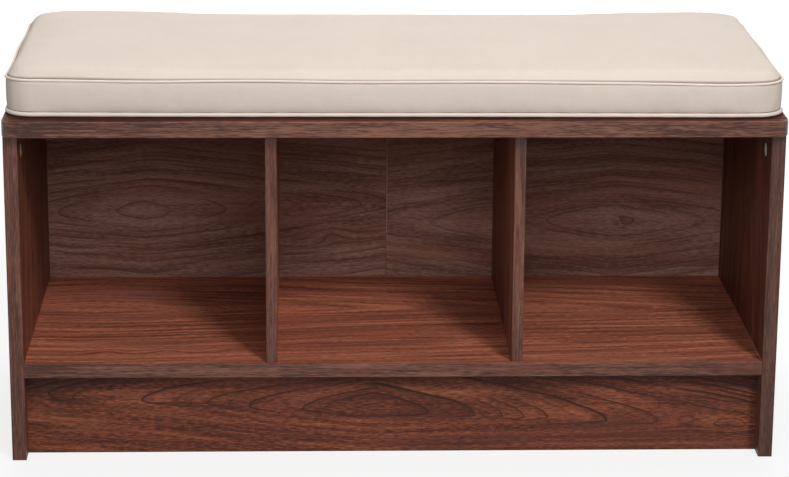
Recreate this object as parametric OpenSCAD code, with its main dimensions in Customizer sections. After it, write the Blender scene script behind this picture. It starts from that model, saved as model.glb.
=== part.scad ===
// Storage bench with three open cubbies and a lift-off box cushion.
// The carcass is flat-packed laminated board, joined by cam locks, dowels and screws,
// with a folding hardboard back. The cushion is a foam block in a piped cover.
//
// Frame: the origin is on the floor under the middle of the bench.
// +X is to the right seen from the front, +Y to the back, +Z up.

/* [Overall] */
// Width over the side panels
overall_w = 867; // [740:1:1050]
// Depth of the top board, front edge to back edge
overall_d = 368; // [300:1:450]

/* [Boards] */
// Thickness of the sides, shelf and kick board
board_t = 16; // [15:0.5:19]
// Thickness of the top board
top_t = 18; // [16:0.5:22]
// Thickness of the dividers
divider_t = 12.5; // [12:0.5:18]
// Thickness of the hardboard back
back_t = 3; // [2.5:0.5:4]
// Thickness of the edge band
band_t = 1; // [0.4:0.2:1.6]

/* [Cubbies] */
// Clear height of the cubbies
cubby_h = 267; // [220:1:340]
// Clear width of the middle cubby
middle_w = 265; // [220:1:300]
// Height of the kick board, from the floor to the shelf
kick_h = 98; // [80:1:140]

/* [Setbacks] */
// How far the top stands out in front of the sides
overhang = 19; // [5:1:30]
// Kick board behind the front of the sides
kick_setback = 25; // [10:1:50]
// Dividers behind the front of the sides
divider_setback = 5; // [2:1:20]
// Back panel in from the back edge of the top
back_recess = 1; // [1:0.5:4]
// Radius of the top's front corners
corner_r = 14; // [5:1:30]

/* [Cam locks] */
// Diameter of a cam lock
cam_d = 15; // [14:0.5:18]
// From a board's end to the middle of its cam lock
cam_reach = 28; // [24:1:34]
// Cam locks in from the front and back ends of a board
cam_inset = 38; // [30:1:60]
// Diameter of a cam bolt's head
bolt_head_d = 7; // [6:0.1:7.4]
// Diameter of a cam bolt's neck
neck_d = 4.4; // [3.5:0.1:5]
// Diameter of a cam bolt's thread
thread_d = 5.8; // [5:0.1:7]
// Length of a cam bolt's thread
thread_len = 11; // [8:0.5:12]

/* [Dowels, screws and nails] */
// Diameter of the dowels in the thick boards
dowel_d = 8; // [6:0.5:8]
// Diameter of the dowels in the dividers
divider_dowel_d = 6; // [5:0.5:6]
// Length of a dowel
dowel_len = 30; // [25:1:36]
// From a cam lock to the dowel beside it
dowel_gap = 32; // [24:1:64]
// Between the dowels on top of the kick board
kick_dowel_pitch = 280; // [200:1:300]
// Height of the dowels in the ends of the kick board
kick_dowel_z = 28; // [20:1:30]
// Diameter of the divider screws
screw_d = 4; // [3.5:0.1:4.5]
// Length of the divider screws
screw_len = 38; // [32:1:45]
// Screws and dowels of a divider, in from its front and back
divider_fixing_inset = 55; // [40:1:90]
// Diameter of a back nail
nail_d = 1.4; // [1.2:0.1:2]
// Length of a back nail under its head
nail_len = 16; // [12:1:20]
// Between the back nails along the shelf
nail_pitch = 130; // [90:1:140]

/* [Cushion] */
// Height of the cushion at its edge, over both pipings
cushion_edge_h = 42; // [30:1:60]
// How far the top of the cushion crowns above its edge
crown_h = 17; // [5:1:25]
// Width of the border over which the crown rises
crown_run = 60; // [30:1:90]
// Corner radius of the cushion
cushion_r = 28; // [20:1:60]
// Cushion behind the front edge of the top
cushion_setback = 19; // [2:1:40]
// Cushion in from the back edge of the top
cushion_back_gap = 3; // [0:1:20]
// Cushion in from each end of the top
cushion_side_gap = 0.5; // [0.5:0.5:20]
// Diameter of the piping
piping_d = 5; // [4:0.5:8]
// Thickness of the cover cloth
cloth_t = 1.2; // [0.8:0.1:1.5]
// Length of the zip
zip_len = 640; // [400:10:700]
// Width of the zip
zip_w = 12; // [10:1:16]

/* [Hook and loop] */
// Length of a hook strip
strip_len = 110; // [50:1:200]
// Width of a strip
strip_w = 25; // [16:1:40]
// Strips in from the ends of the cushion
strip_inset = 90; // [60:1:200]
// Strips in from the front and back of the cushion
strip_edge = 60; // [45:1:120]

/* [Hidden] */
$fn = 48;

LEFT = -1;
RIGHT = 1;

// Clearances
fit = 0.1;          // radial, round a fastener in its bore
seat_gap = 0.3;     // between the cushion and the bench, and over and under the foam
foam_gap = 0.75;    // between the foam and the boxing
past = 1;           // how far a cut runs past the face it opens
hole_end = 1;       // air past the end of a dowel, bolt or screw

// Colours
veneer = "#5e372d";
edging = "#6d4a42";
hardboard = "#4a2d25";
zinc = "#b9b2a8";
beech = "#c9a878";
cloth = "#dccfc1";
foam_colour = "#efe6c9";

// Heights, from the floor up
shelf_z = kick_h;
shelf_top = shelf_z + board_t;
top_z = shelf_top + cubby_h;
seat_z = top_z + top_t;

// Places across and along the bench
inner_x = overall_w / 2 - board_t;
divider_x = middle_w / 2 + divider_t / 2;
front_y = -overall_d / 2 + overhang;
back_y = overall_d / 2 - back_recess - back_t;
divider_front_y = front_y + divider_setback;
kick_y = front_y + kick_setback;
kick_back_y = kick_y + board_t;

// Edge band: its outer arrises are rounded over most of its thickness
arris_r = 0.8 * band_t;
arris_fn = 24;

// Cam lock: its bolt runs along the middle of the board's thickness
bolt_depth = board_t / 2;
head_room = bolt_head_d + 0.6;
chamber_r = 4.8;
head_t = 3.2;
neck_slot_w = neck_d + 0.6;
entry_angle = 105;
slot_lead = asin(neck_slot_w / 2 / chamber_r);
cam_floor = 0.6;
cam_h = bolt_depth + head_room / 2 + cam_floor;
collar_d = 7;
collar_t = 1.5;
driver_l = 7;
driver_w = 1.6;
driver_depth = 2;
front_cam_y = front_y + cam_inset;
back_cam_y = back_y - cam_inset;
shelf_cam_y = kick_back_y + dowel_gap;
kick_cam_z = kick_dowel_z + dowel_gap;

// Dowels: a short end in a face and a long end in an edge
dowel_in_face = 10;
dowel_in_edge = dowel_len - dowel_in_face;
dowel_chamfer = 1;

// Screw head and tip
screw_head_d = 2 * screw_d;
screw_tip = 4;

// Nails: rows of [x, z] on the back
nail_head_d = 5;
nail_head_t = 0.8;
nail_tip = 1.5;
back_edge = 2;
nail_end = 22;
side_nail_count = 5;
divider_nail_count = 3;
back_z0 = shelf_z;
back_z1 = top_z - 0.5;
fold_gap = 0.6;
tape_w = 38;
tape_t = 0.3;

// Cushion: x and y of its outline at the boxing, and the piping's two levels
piping_r = piping_d / 2;
piping_out = 1;
cushion_front_y = -overall_d / 2 + cushion_setback;
cushion_rear_y = overall_d / 2 - cushion_back_gap;
cushion_y = (cushion_front_y + cushion_rear_y) / 2;
box_w = overall_w - 2 * (cushion_side_gap + piping_out + piping_r);
box_d = cushion_rear_y - cushion_front_y - 2 * (piping_out + piping_r);
lower_z = seat_z + seat_gap + piping_r;
upper_z = seat_z + seat_gap + cushion_edge_h - piping_r;
panel_inset = piping_r - piping_out + 0.15;
boxing_gap = piping_r - 0.1;
bottom_panel_z = lower_z - cloth_t / 2;
top_panel_z = upper_z - cloth_t / 2;
strip_t = (bottom_panel_z - seat_z - seat_gap) / 2 - 0.05;
hull_fn = 32;
corner_growth = 1.8;
slab_t = 0.02;

function spread(first, last, count) =
    [for (k = [0:count - 1]) first + (last - first) * k / (count - 1)];

side_nails = [
    for (s = [LEFT, RIGHT], z = spread(back_z0 + nail_end, back_z1 - nail_end, side_nail_count))
        [s * (inner_x + board_t / 2), z]
];
divider_nails = [
    for (s = [LEFT, RIGHT], z = spread(shelf_top + nail_end, back_z1 - nail_end, divider_nail_count))
        [s * divider_x, z]
];
shelf_nails = [
    for (s = [LEFT, RIGHT], k = [0:2]) [s * nail_pitch * (k + 0.5), shelf_z + board_t / 2]
];

// ---- Shared shapes ----

module on_side(side) {
    mirror([side == LEFT ? 1 : 0, 0, 0]) children();
}

module both_sides() {
    for (side = [LEFT, RIGHT]) on_side(side) children();
}

// A board given by its two corners
module board(low, high) {
    translate(low) cube(high - low);
}

// A rectangle about the origin with four round corners
module rounded_rect(w, d, r) {
    square([w - 2 * r, d], center = true);
    square([w, d - 2 * r], center = true);
    for (x = [-1, 1], y = [-1, 1])
        translate([x * (w / 2 - r), y * (d / 2 - r)]) circle(r = r);
}

// The top board's outline inside its band: round corners at the front only
module top_outline() {
    r = corner_r - band_t;
    w = overall_w - 2 * band_t;
    d = overall_d - 2 * band_t;
    translate([-w / 2, -d / 2 + r]) square([w, d - r]);
    translate([-w / 2 + r, -d / 2]) square([w - 2 * r, 2 * r]);
    for (x = [-1, 1]) translate([x * (w / 2 - r), -d / 2 + r]) circle(r = r);
}

// An edge band's section: glued along x = 0, its outer arrises rounded
module band_section(width) {
    intersection() {
        square([band_t, width]);
        translate([band_t - width / 2, width / 2])
            rounded_rect(width, width, arris_r, $fn = arris_fn);
    }
}

// A band along a level edge. It runs from the origin, at its right end as seen from
// outside, and faces front, right or back at a turn of -90, 0 or 90
module level_band(length, width, turn) {
    rotate([90, 0, turn]) linear_extrude(length) band_section(width);
}

// A band up a front edge, from its lower left corner
module upright_band(height, width) {
    rotate(-90) linear_extrude(height) band_section(width);
}

// ---- Fasteners, each drawn at its own joint ----

// Cam lock in the face z = 0, its bolt leaving along +X
module cam_lock() {
    difference() {
        translate([0, 0, -cam_h]) cylinder(d = cam_d, h = cam_h);
        translate([0, 0, -bolt_depth - head_room / 2]) cylinder(r = chamber_r, h = head_room);
        translate([0, 0, -bolt_depth - neck_slot_w / 2]) rotate(-slot_lead)
            rotate_extrude(angle = slot_lead + entry_angle) square([cam_d, neck_slot_w]);
        translate([0, 0, -bolt_depth]) rotate(entry_angle) rotate([0, 90, 0])
            cylinder(d = head_room, h = cam_d);
        for (a = [0, 90]) rotate(a)
            translate([-driver_l / 2, -driver_w / 2, -driver_depth])
                cube([driver_l, driver_w, driver_depth + past]);
    }
}

// Cam bolt: head in the lock, neck in the board's end, thread in the next board
module cam_bolt() {
    translate([0, 0, -bolt_depth]) rotate([0, 90, 0]) {
        translate([0, 0, -head_t / 2]) cylinder(d = bolt_head_d, h = head_t);
        cylinder(d = neck_d, h = cam_reach);
        translate([0, 0, cam_reach - collar_t]) cylinder(d = collar_d, h = collar_t);
        translate([0, 0, cam_reach]) cylinder(d = thread_d, h = thread_len);
    }
}

// Everything bored for one cam lock and its bolt
module cam_cut() {
    translate([0, 0, -cam_h - fit]) cylinder(d = cam_d + 2 * fit, h = cam_h + fit + past);
    translate([0, 0, -bolt_depth]) rotate([0, 90, 0]) {
        cylinder(d = head_room + 2 * fit, h = cam_reach);
        cylinder(d = thread_d + 2 * fit, h = cam_reach + thread_len + hole_end);
    }
}

// Dowel across the joint plane z = 0, its long end below in the board's edge
module dowel(d) {
    straight = dowel_len - 2 * dowel_chamfer;
    translate([0, 0, -dowel_in_edge]) {
        cylinder(d1 = d - 2 * dowel_chamfer, d2 = d, h = dowel_chamfer);
        translate([0, 0, dowel_chamfer]) cylinder(d = d, h = straight);
        translate([0, 0, dowel_chamfer + straight])
            cylinder(d1 = d, d2 = d - 2 * dowel_chamfer, h = dowel_chamfer);
    }
}

module dowel_cut(d) {
    translate([0, 0, -dowel_in_edge - hole_end])
        cylinder(d = d + 2 * fit, h = dowel_len + 2 * hole_end);
}

// Countersunk screw with its head's face at z = 0 and its point up
module screw() {
    difference() {
        union() {
            cylinder(d1 = screw_head_d, d2 = screw_d, h = screw_d / 2);
            cylinder(d = screw_d, h = screw_len - screw_tip);
            translate([0, 0, screw_len - screw_tip])
                cylinder(d1 = screw_d, d2 = screw_d / 4, h = screw_tip);
        }
        for (a = [0, 90]) rotate(a)
            translate([-screw_d / 2, -screw_d / 8, -past])
                cube([screw_d, screw_d / 4, past + screw_d / 3]);
    }
}

module screw_cut() {
    translate([0, 0, -past])
        cylinder(d1 = screw_head_d + 2 * (fit + past), d2 = screw_d + 2 * fit, h = screw_d / 2 + past + fit);
    cylinder(d = screw_d + 2 * fit, h = screw_len + hole_end);
}

// Nail driven along +Z, its head on the face z = 0
module nail() {
    translate([0, 0, -nail_head_t]) cylinder(d = nail_head_d, h = nail_head_t);
    cylinder(d = nail_d, h = nail_len - nail_tip);
    translate([0, 0, nail_len - nail_tip]) cylinder(d1 = nail_d, d2 = nail_d / 4, h = nail_tip);
}

module nail_cut() {
    translate([0, 0, -past]) cylinder(d = nail_d + 2 * fit, h = nail_len + hole_end + past);
}

// ---- Where the fasteners go ----

module at_top_cams() {
    both_sides() for (y = [front_cam_y, back_cam_y])
        translate([inner_x, y, top_z - cam_reach]) rotate([0, -90, 0]) children();
}

module at_top_dowels() {
    for (s = [LEFT, RIGHT], y = [front_cam_y + dowel_gap, back_cam_y - dowel_gap])
        translate([s * (inner_x + board_t / 2), y, top_z]) children();
}

module at_shelf_cams() {
    both_sides() for (y = [shelf_cam_y, back_cam_y])
        translate([inner_x - cam_reach, y, shelf_z]) rotate([180, 0, 0]) children();
}

module at_shelf_dowels() {
    both_sides() for (y = [shelf_cam_y + dowel_gap, back_cam_y - dowel_gap])
        translate([inner_x, y, shelf_z + board_t / 2]) rotate([0, 90, 0]) children();
}

module at_kick_cams() {
    both_sides() translate([inner_x - cam_reach, kick_back_y, kick_cam_z])
        rotate([-90, 0, 0]) children();
}

module at_kick_dowels() {
    both_sides() translate([inner_x, kick_y + board_t / 2, kick_dowel_z])
        rotate([0, 90, 0]) children();
    for (k = [-1:1]) translate([k * kick_dowel_pitch, kick_y + board_t / 2, kick_h]) children();
}

module at_divider_fixings(z) {
    for (s = [LEFT, RIGHT], y = [divider_front_y + divider_fixing_inset, back_y - divider_fixing_inset])
        translate([s * divider_x, y, z]) children();
}

module at_nails(places) {
    for (p = places) translate([p[0], back_y + back_t, p[1]]) rotate([90, 0, 0]) children();
}

module at_strips() {
    x = overall_w / 2 - strip_inset - strip_len / 2;
    for (s = [LEFT, RIGHT], y = [cushion_front_y + strip_edge, cushion_rear_y - strip_edge])
        translate([s * x, y, 0]) children();
}

// ---- Carcass ----

module top_panel() {
    color(veneer) difference() {
        translate([0, 0, top_z]) linear_extrude(top_t) top_outline();
        at_top_cams() cam_cut();
        at_top_dowels() dowel_cut(dowel_d);
        at_divider_fixings(top_z) dowel_cut(divider_dowel_d);
    }
}

module top_edge_band() {
    x = overall_w / 2;
    y = overall_d / 2;
    color(edging) translate([0, 0, top_z]) {
        translate([x - corner_r, band_t - y, 0]) level_band(2 * (x - corner_r), top_t, -90);
        translate([band_t - x, y - band_t, 0]) level_band(2 * (x - band_t), top_t, 90);
        both_sides() {
            translate([x - band_t, y, 0]) level_band(2 * y - corner_r, top_t, 0);
            translate([x - corner_r, corner_r - y, 0]) rotate(-90) rotate_extrude(angle = 90)
                translate([corner_r - band_t, 0]) band_section(top_t);
        }
    }
}

module side_panel(side) {
    color(veneer) difference() {
        on_side(side) board([inner_x, front_y + band_t, 0], [inner_x + board_t, back_y, top_z]);
        at_top_cams() cam_cut();
        at_top_dowels() dowel_cut(dowel_d);
        at_shelf_cams() cam_cut();
        at_shelf_dowels() dowel_cut(dowel_d);
        at_kick_cams() cam_cut();
        at_kick_dowels() dowel_cut(dowel_d);
        at_nails(side_nails) nail_cut();
    }
}

module side_edge_band(side) {
    color(edging) on_side(side)
        translate([inner_x, front_y + band_t, 0]) upright_band(top_z, board_t);
}

module divider(side) {
    x = side * divider_x;
    color(veneer) difference() {
        board([x - divider_t / 2, divider_front_y + band_t, shelf_top], [x + divider_t / 2, back_y, top_z]);
        at_divider_fixings(shelf_z) screw_cut();
        at_divider_fixings(top_z) dowel_cut(divider_dowel_d);
        at_nails(divider_nails) nail_cut();
    }
}

module divider_edge_band(side) {
    x = side * divider_x - divider_t / 2;
    color(edging) translate([x, divider_front_y + band_t, shelf_top])
        upright_band(cubby_h, divider_t);
}

module bottom_shelf() {
    color(veneer) difference() {
        board([-inner_x, front_y + band_t, shelf_z], [inner_x, back_y, shelf_top]);
        at_shelf_cams() cam_cut();
        at_shelf_dowels() dowel_cut(dowel_d);
        at_kick_dowels() dowel_cut(dowel_d);
        at_divider_fixings(shelf_z) screw_cut();
        at_nails(shelf_nails) nail_cut();
    }
}

module shelf_edge_band() {
    color(edging) translate([inner_x, front_y + band_t, shelf_z])
        level_band(2 * inner_x, board_t, -90);
}

module kick_board() {
    color(veneer) difference() {
        board([-inner_x, kick_y, 0], [inner_x, kick_back_y, kick_h]);
        at_kick_cams() cam_cut();
        at_kick_dowels() dowel_cut(dowel_d);
    }
}

module back_panel(side) {
    color(hardboard) difference() {
        on_side(side)
            board([fold_gap / 2, back_y, back_z0], [overall_w / 2 - back_edge, back_y + back_t, back_z1]);
        at_nails(concat(side_nails, divider_nails, shelf_nails)) nail_cut();
    }
}

module back_fold_tape() {
    color(hardboard)
        board([-tape_w / 2, back_y + back_t, back_z0], [tape_w / 2, back_y + back_t + tape_t, back_z1]);
}

// ---- Cushion ----

// A slab of the cushion's outline, drawn in by inset, its corners rounder by extra_r
module cushion_slab(z, t, inset, extra_r = 0) {
    translate([0, cushion_y, z]) linear_extrude(t)
        rounded_rect(box_w - 2 * inset, box_d - 2 * inset, cushion_r - inset + extra_r);
}

// The crowned block inside an outline: a quarter ellipse rises over the border
module crown(inset, drop) {
    hull() for (a = [0:15:90]) {
        step = crown_run * (1 - cos(a));
        z = top_panel_z + crown_h * sin(a) - drop;
        cushion_slab(z, slab_t, inset + step, step * corner_growth, $fn = hull_fn);
    }
}

// A round cord laid along the cushion's outline at the height z
module piping(z) {
    w = box_w + 2 * piping_out;
    d = box_d + 2 * piping_out;
    r = cushion_r + piping_out;
    color(cloth) translate([0, cushion_y, z]) {
        for (s = [-1, 1]) {
            translate([0, s * d / 2, 0]) rotate([0, 90, 0])
                cylinder(r = piping_r, h = w - 2 * r, center = true);
            translate([s * w / 2, 0, 0]) rotate([90, 0, 0])
                cylinder(r = piping_r, h = d - 2 * r, center = true);
        }
        for (corner = [[1, 1, 0], [-1, 1, 90], [-1, -1, 180], [1, -1, 270]])
            translate([corner[0] * (w / 2 - r), corner[1] * (d / 2 - r), 0]) rotate(corner[2])
                rotate_extrude(angle = 90) translate([r, 0]) circle(r = piping_r);
    }
}

module cushion_top_panel() {
    color(cloth) difference() {
        crown(panel_inset, 0);
        crown(panel_inset + cloth_t, cloth_t);
    }
}

module cushion_boxing() {
    h = upper_z - lower_z - 2 * boxing_gap;
    color(cloth) difference() {
        cushion_slab(lower_z + boxing_gap, h, 0);
        cushion_slab(lower_z + boxing_gap - past, h + 2 * past, cloth_t);
        at_zip() cube([zip_len, 4 * cloth_t, zip_w], center = true);
    }
}

module cushion_bottom_panel() {
    color(cloth) cushion_slab(bottom_panel_z, cloth_t, panel_inset);
}

module cushion_foam() {
    inset = panel_inset + cloth_t + seat_gap;
    low = bottom_panel_z + cloth_t + seat_gap;
    shoulder = upper_z - piping_d;
    color(foam_colour) hull() {
        cushion_slab(low, shoulder - low, cloth_t + foam_gap, $fn = hull_fn);
        crown(inset, cloth_t + seat_gap);
    }
}

// The middle of the zip's window, on the outer face of the rear boxing
module at_zip() {
    translate([0, cushion_y + box_d / 2 - cloth_t / 2, (lower_z + upper_z) / 2]) children();
}

module cushion_zip() {
    chain_r = 1.5;
    slider = [9, 3, 7];
    pull = [16, 1, 5];
    color("#b7aa9c") at_zip() {
        cube([zip_len - 2 * fit, cloth_t, zip_w - 2 * fit], center = true);
        translate([0, cloth_t / 2, 0]) rotate([0, 90, 0])
            cylinder(r = chain_r, h = zip_len - 4 * fit, center = true);
        translate([zip_len / 2 - slider[0], 0, 0]) {
            translate([0, slider[1] / 2, 0]) cube(slider, center = true);
            translate([-pull[0] / 2, slider[1] - pull[1] / 2, 0]) cube(pull, center = true);
        }
    }
}

module hook_strips() {
    color("#3b3532") translate([0, 0, seat_z + strip_t / 2]) at_strips()
        cube([strip_len, strip_w, strip_t], center = true);
}

module loop_strips() {
    color("#d3c6b8") translate([0, 0, seat_z + seat_gap + strip_t * 1.5]) at_strips()
        cube([strip_len, strip_w, strip_t], center = true);
}

// ---- Nodes ----

top_panel();
top_edge_band();
side_panel(LEFT);  // left_side_panel
side_panel(RIGHT);  // right_side_panel
side_edge_band(LEFT);  // left_side_edge_band
side_edge_band(RIGHT);  // right_side_edge_band
divider(LEFT);  // left_divider
divider(RIGHT);  // right_divider
divider_edge_band(LEFT);  // left_divider_edge_band
divider_edge_band(RIGHT);  // right_divider_edge_band
bottom_shelf();
shelf_edge_band();
kick_board();
back_panel(LEFT);  // back_panel_left
back_panel(RIGHT);  // back_panel_right
back_fold_tape();
color(zinc) at_top_cams() cam_lock();  // top_cam_locks
color(zinc) at_top_cams() cam_bolt();  // top_cam_bolts
color(beech) at_top_dowels() dowel(dowel_d);  // top_dowels
color(zinc) at_shelf_cams() cam_lock();  // shelf_cam_locks
color(zinc) at_shelf_cams() cam_bolt();  // shelf_cam_bolts
color(beech) at_shelf_dowels() dowel(dowel_d);  // shelf_dowels
color(zinc) at_kick_cams() cam_lock();  // kick_cam_locks
color(zinc) at_kick_cams() cam_bolt();  // kick_cam_bolts
color(beech) at_kick_dowels() dowel(dowel_d);  // kick_dowels
color(beech) at_divider_fixings(top_z) dowel(divider_dowel_d);  // divider_dowels
color(zinc) at_divider_fixings(shelf_z) screw();  // divider_screws
color(zinc) at_nails(concat(side_nails, divider_nails, shelf_nails)) nail();  // back_nails
hook_strips();
loop_strips();
cushion_bottom_panel();
cushion_boxing();
cushion_top_panel();
piping(lower_z);  // lower_piping
piping(upper_z);  // upper_piping
cushion_foam();
cushion_zip();
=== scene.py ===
from math import copysign, cos, pi, radians, sin

import bmesh
import bpy
import numpy as np
from mathutils import Matrix, Vector
from mathutils.bvhtree import BVHTree


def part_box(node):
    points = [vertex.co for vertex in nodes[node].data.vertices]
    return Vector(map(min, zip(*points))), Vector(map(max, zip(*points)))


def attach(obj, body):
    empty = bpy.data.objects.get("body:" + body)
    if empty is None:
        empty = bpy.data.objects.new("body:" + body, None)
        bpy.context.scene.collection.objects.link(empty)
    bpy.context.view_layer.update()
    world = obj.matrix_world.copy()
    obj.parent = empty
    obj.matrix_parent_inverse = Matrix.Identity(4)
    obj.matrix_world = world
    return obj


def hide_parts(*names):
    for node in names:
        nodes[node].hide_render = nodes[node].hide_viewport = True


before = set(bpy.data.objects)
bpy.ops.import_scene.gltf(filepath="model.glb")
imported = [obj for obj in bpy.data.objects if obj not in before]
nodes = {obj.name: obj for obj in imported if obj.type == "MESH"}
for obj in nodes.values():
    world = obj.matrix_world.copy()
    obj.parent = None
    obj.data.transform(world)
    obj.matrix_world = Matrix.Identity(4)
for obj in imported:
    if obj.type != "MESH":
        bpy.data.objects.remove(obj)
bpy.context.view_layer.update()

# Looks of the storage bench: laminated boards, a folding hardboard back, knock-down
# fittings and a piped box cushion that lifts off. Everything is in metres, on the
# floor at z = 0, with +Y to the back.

MM = 0.001
scene = bpy.context.scene
shelf_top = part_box("bottom_shelf")[1].z


# ---- Node maths ----

def operator(operation, swapped=False):
    """A method of Wire that adds a Math node, its two sides swapped if asked."""
    def method(self, other):
        sides = (other, self) if swapped else (self, other)
        return self.finish.node("Math", {"operation": operation}, *sides)
    return method


class Wire:
    """An output of a node. Arithmetic on wires adds Math nodes."""

    __add__ = __radd__ = operator("ADD")
    __mul__ = __rmul__ = operator("MULTIPLY")
    __sub__, __rsub__ = operator("SUBTRACT"), operator("SUBTRACT", True)
    __truediv__, __rtruediv__ = operator("DIVIDE"), operator("DIVIDE", True)
    __pow__, __rpow__ = operator("POWER"), operator("POWER", True)
    __gt__, __lt__ = operator("GREATER_THAN"), operator("LESS_THAN")

    def __init__(self, finish, socket):
        self.finish = finish
        self.socket = socket

    def __neg__(self):
        return self * -1.0

    def math(self, operation, *others, clamp=False):
        settings = {"operation": operation, "use_clamp": clamp}
        return self.finish.node("Math", settings, self, *others)

    def clamp(self):
        return self.math("ADD", 0.0, clamp=True)

    def ramp(self, low, high):
        """0 up to low, 1 from high on, smooth between."""
        smooth_step = {"interpolation_type": "SMOOTHSTEP"}
        return self.finish.node("MapRange", smooth_step, Value=self, From_Min=low, From_Max=high)

    def near(self, value, reach):
        """1 where the wire is at value, fading to 0 at reach from it."""
        return 1.0 - (self - value).math("ABSOLUTE").ramp(0.0, reach)


class Finish:
    """The node tree of a material, or of a world, in the making. Every node of it
    comes from node()."""

    def __init__(self, name, home=bpy.data.materials):
        self.material = home.new(name)
        self.material.use_nodes = True
        self.tree = self.material.node_tree
        self.tree.nodes.clear()

    def node(self, kind, settings=None, *ordered, output=0, **named):
        """A node of a kind, its settings first and then its sockets, by order or by
        name. Gives one of its outputs, or all."""
        whole = kind.startswith(("Geometry", "Function", "Node"))
        made = self.tree.nodes.new(kind if whole else "ShaderNode" + kind)
        for key, value in (settings or {}).items():
            setattr(made, key, value)
        for key, value in [*enumerate(ordered), *named.items()]:
            socket = made.inputs[key if isinstance(key, int) else key.replace("_", " ")]
            if isinstance(value, Wire):
                self.tree.links.new(value.socket, socket)
            elif value is not None:
                socket.default_value = value
        if output == "all":
            return [Wire(self, socket) for socket in made.outputs]
        return Wire(self, made.outputs[output])

    def split(self, vector):
        """A vector's x, y and z."""
        return self.node("SeparateXYZ", None, vector, output="all")

    def place(self):
        """The point on the piece, in metres."""
        return self.split(self.node("TexCoord", output="Object"))

    def facing(self):
        """The surface's own direction."""
        return self.split(self.node("TexCoord", output="Normal"))

    def cloth_place(self):
        """The point on the cloth as it was cut, in metres: u and v."""
        return self.split(self.node("UVMap", {"uv_map": "cloth"}))[:2]

    def seen(self):
        """1 for a ray from the camera or off a glossy surface."""
        rays = self.node("LightPath", None, output="all")
        return rays[0].math("MAXIMUM", rays[3])

    def point(self, x, y, z=0.0):
        return self.node("CombineXYZ", None, x, y, z)

    def noise(self, spot, detail=2.0, roughness=0.5, seed=0.0):
        """Cloudy noise about 0.5 whose clouds are one unit of spot across."""
        return self.node(
            "TexNoise", {"noise_dimensions": "4D"}, Vector=self.point(*spot), W=seed,
            Scale=1.0, Detail=detail, Roughness=roughness,
        )

    def colours(self, value, stops):
        """A colour for each value. stops are pairs of a value and a colour."""
        made = self.node("ValToRGB", None, value)
        ramp = made.socket.node.color_ramp.elements
        ramp.remove(ramp[1])
        for number, (place, colour) in enumerate(stops):
            stop = ramp.new(place) if number else ramp[0]
            stop.position, stop.color = place, linear(colour)
        return made

    def mix(self, first, second, share):
        """Two colours: all first at share 0, all second at 1."""
        pair = [side if isinstance(side, Wire) else linear(side) for side in (first, second)]
        # The node keeps its two colours after five sockets of other kinds
        return self.node("Mix", {"data_type": "RGBA"}, share, *[None] * 5, *pair, output=2)

    def bump(self, height, distance, strength=1.0, below=None):
        """A surface raised by height, from 0 to 1, times distance in metres."""
        return self.node(
            "Bump", None, Height=height, Distance=distance, Strength=strength, Normal=below,
        )

    def done(self, colour, roughness, bump, shine=0.5, metallic=0.0):
        """Ends a material. shine is how strongly it reflects, 0.5 as most things do."""
        return self.end(self.node(
            "BsdfPrincipled", None, Base_Color=colour, Roughness=roughness, Normal=bump,
            Specular_IOR_Level=shine, Metallic=metallic,
        ))

    def end(self, surface, kind="OutputMaterial"):
        """Ends the tree in an output node of a kind."""
        self.node(kind, None, surface, output="all")
        return self.material


def linear(colour):
    """A colour written as 0 to 255 steps of a screen, as a shader takes it."""
    steps = [c / 255 for c in colour]
    return *(c / 12.92 if c <= 0.04045 else ((c + 0.055) / 1.055) ** 2.4 for c in steps), 1.0


def share_of(colour, *shares):
    """A colour with each of its parts, or all of them, times a share."""
    return tuple(min(255.0, c * s) for c, s in zip(colour, shares * (3 // len(shares))))


# ---- Boards ----

# The most that one late-wood line is wide, and its soft side
LATE_WOOD, SOFT_SIDE = 2.8 * MM, 11 * MM
# The five tones of each print, dark to light, and how light the print is at each
STEPS = (0.1, 0.36, 0.52, 0.7, 0.95)
MAPLE = ((60, 35, 28), (82, 50, 40), (98, 61, 49), (113, 72, 58), (130, 87, 72))
CHERRY = ((58, 26, 17), (84, 43, 30), (106, 58, 42), (124, 70, 50), (150, 90, 63))
# The back's print: partly its own paler print, and partly painted light that lifts it for the dim
# backs of the cubbies
BACK_PRINT_PAINTED_LIGHT = ((102, 72, 61), (138, 101, 88), (162, 123, 109), (180, 142, 125), (198, 160, 140))
RAW_FIBRE = ((0.3, (90, 67, 50)), (0.5, (122, 95, 72)), (0.7, (148, 121, 96)))
RAW_CHIPS = ((0.0, (122, 92, 62)), (0.5, (172, 140, 98)), (1.0, (205, 178, 134)))


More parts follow.
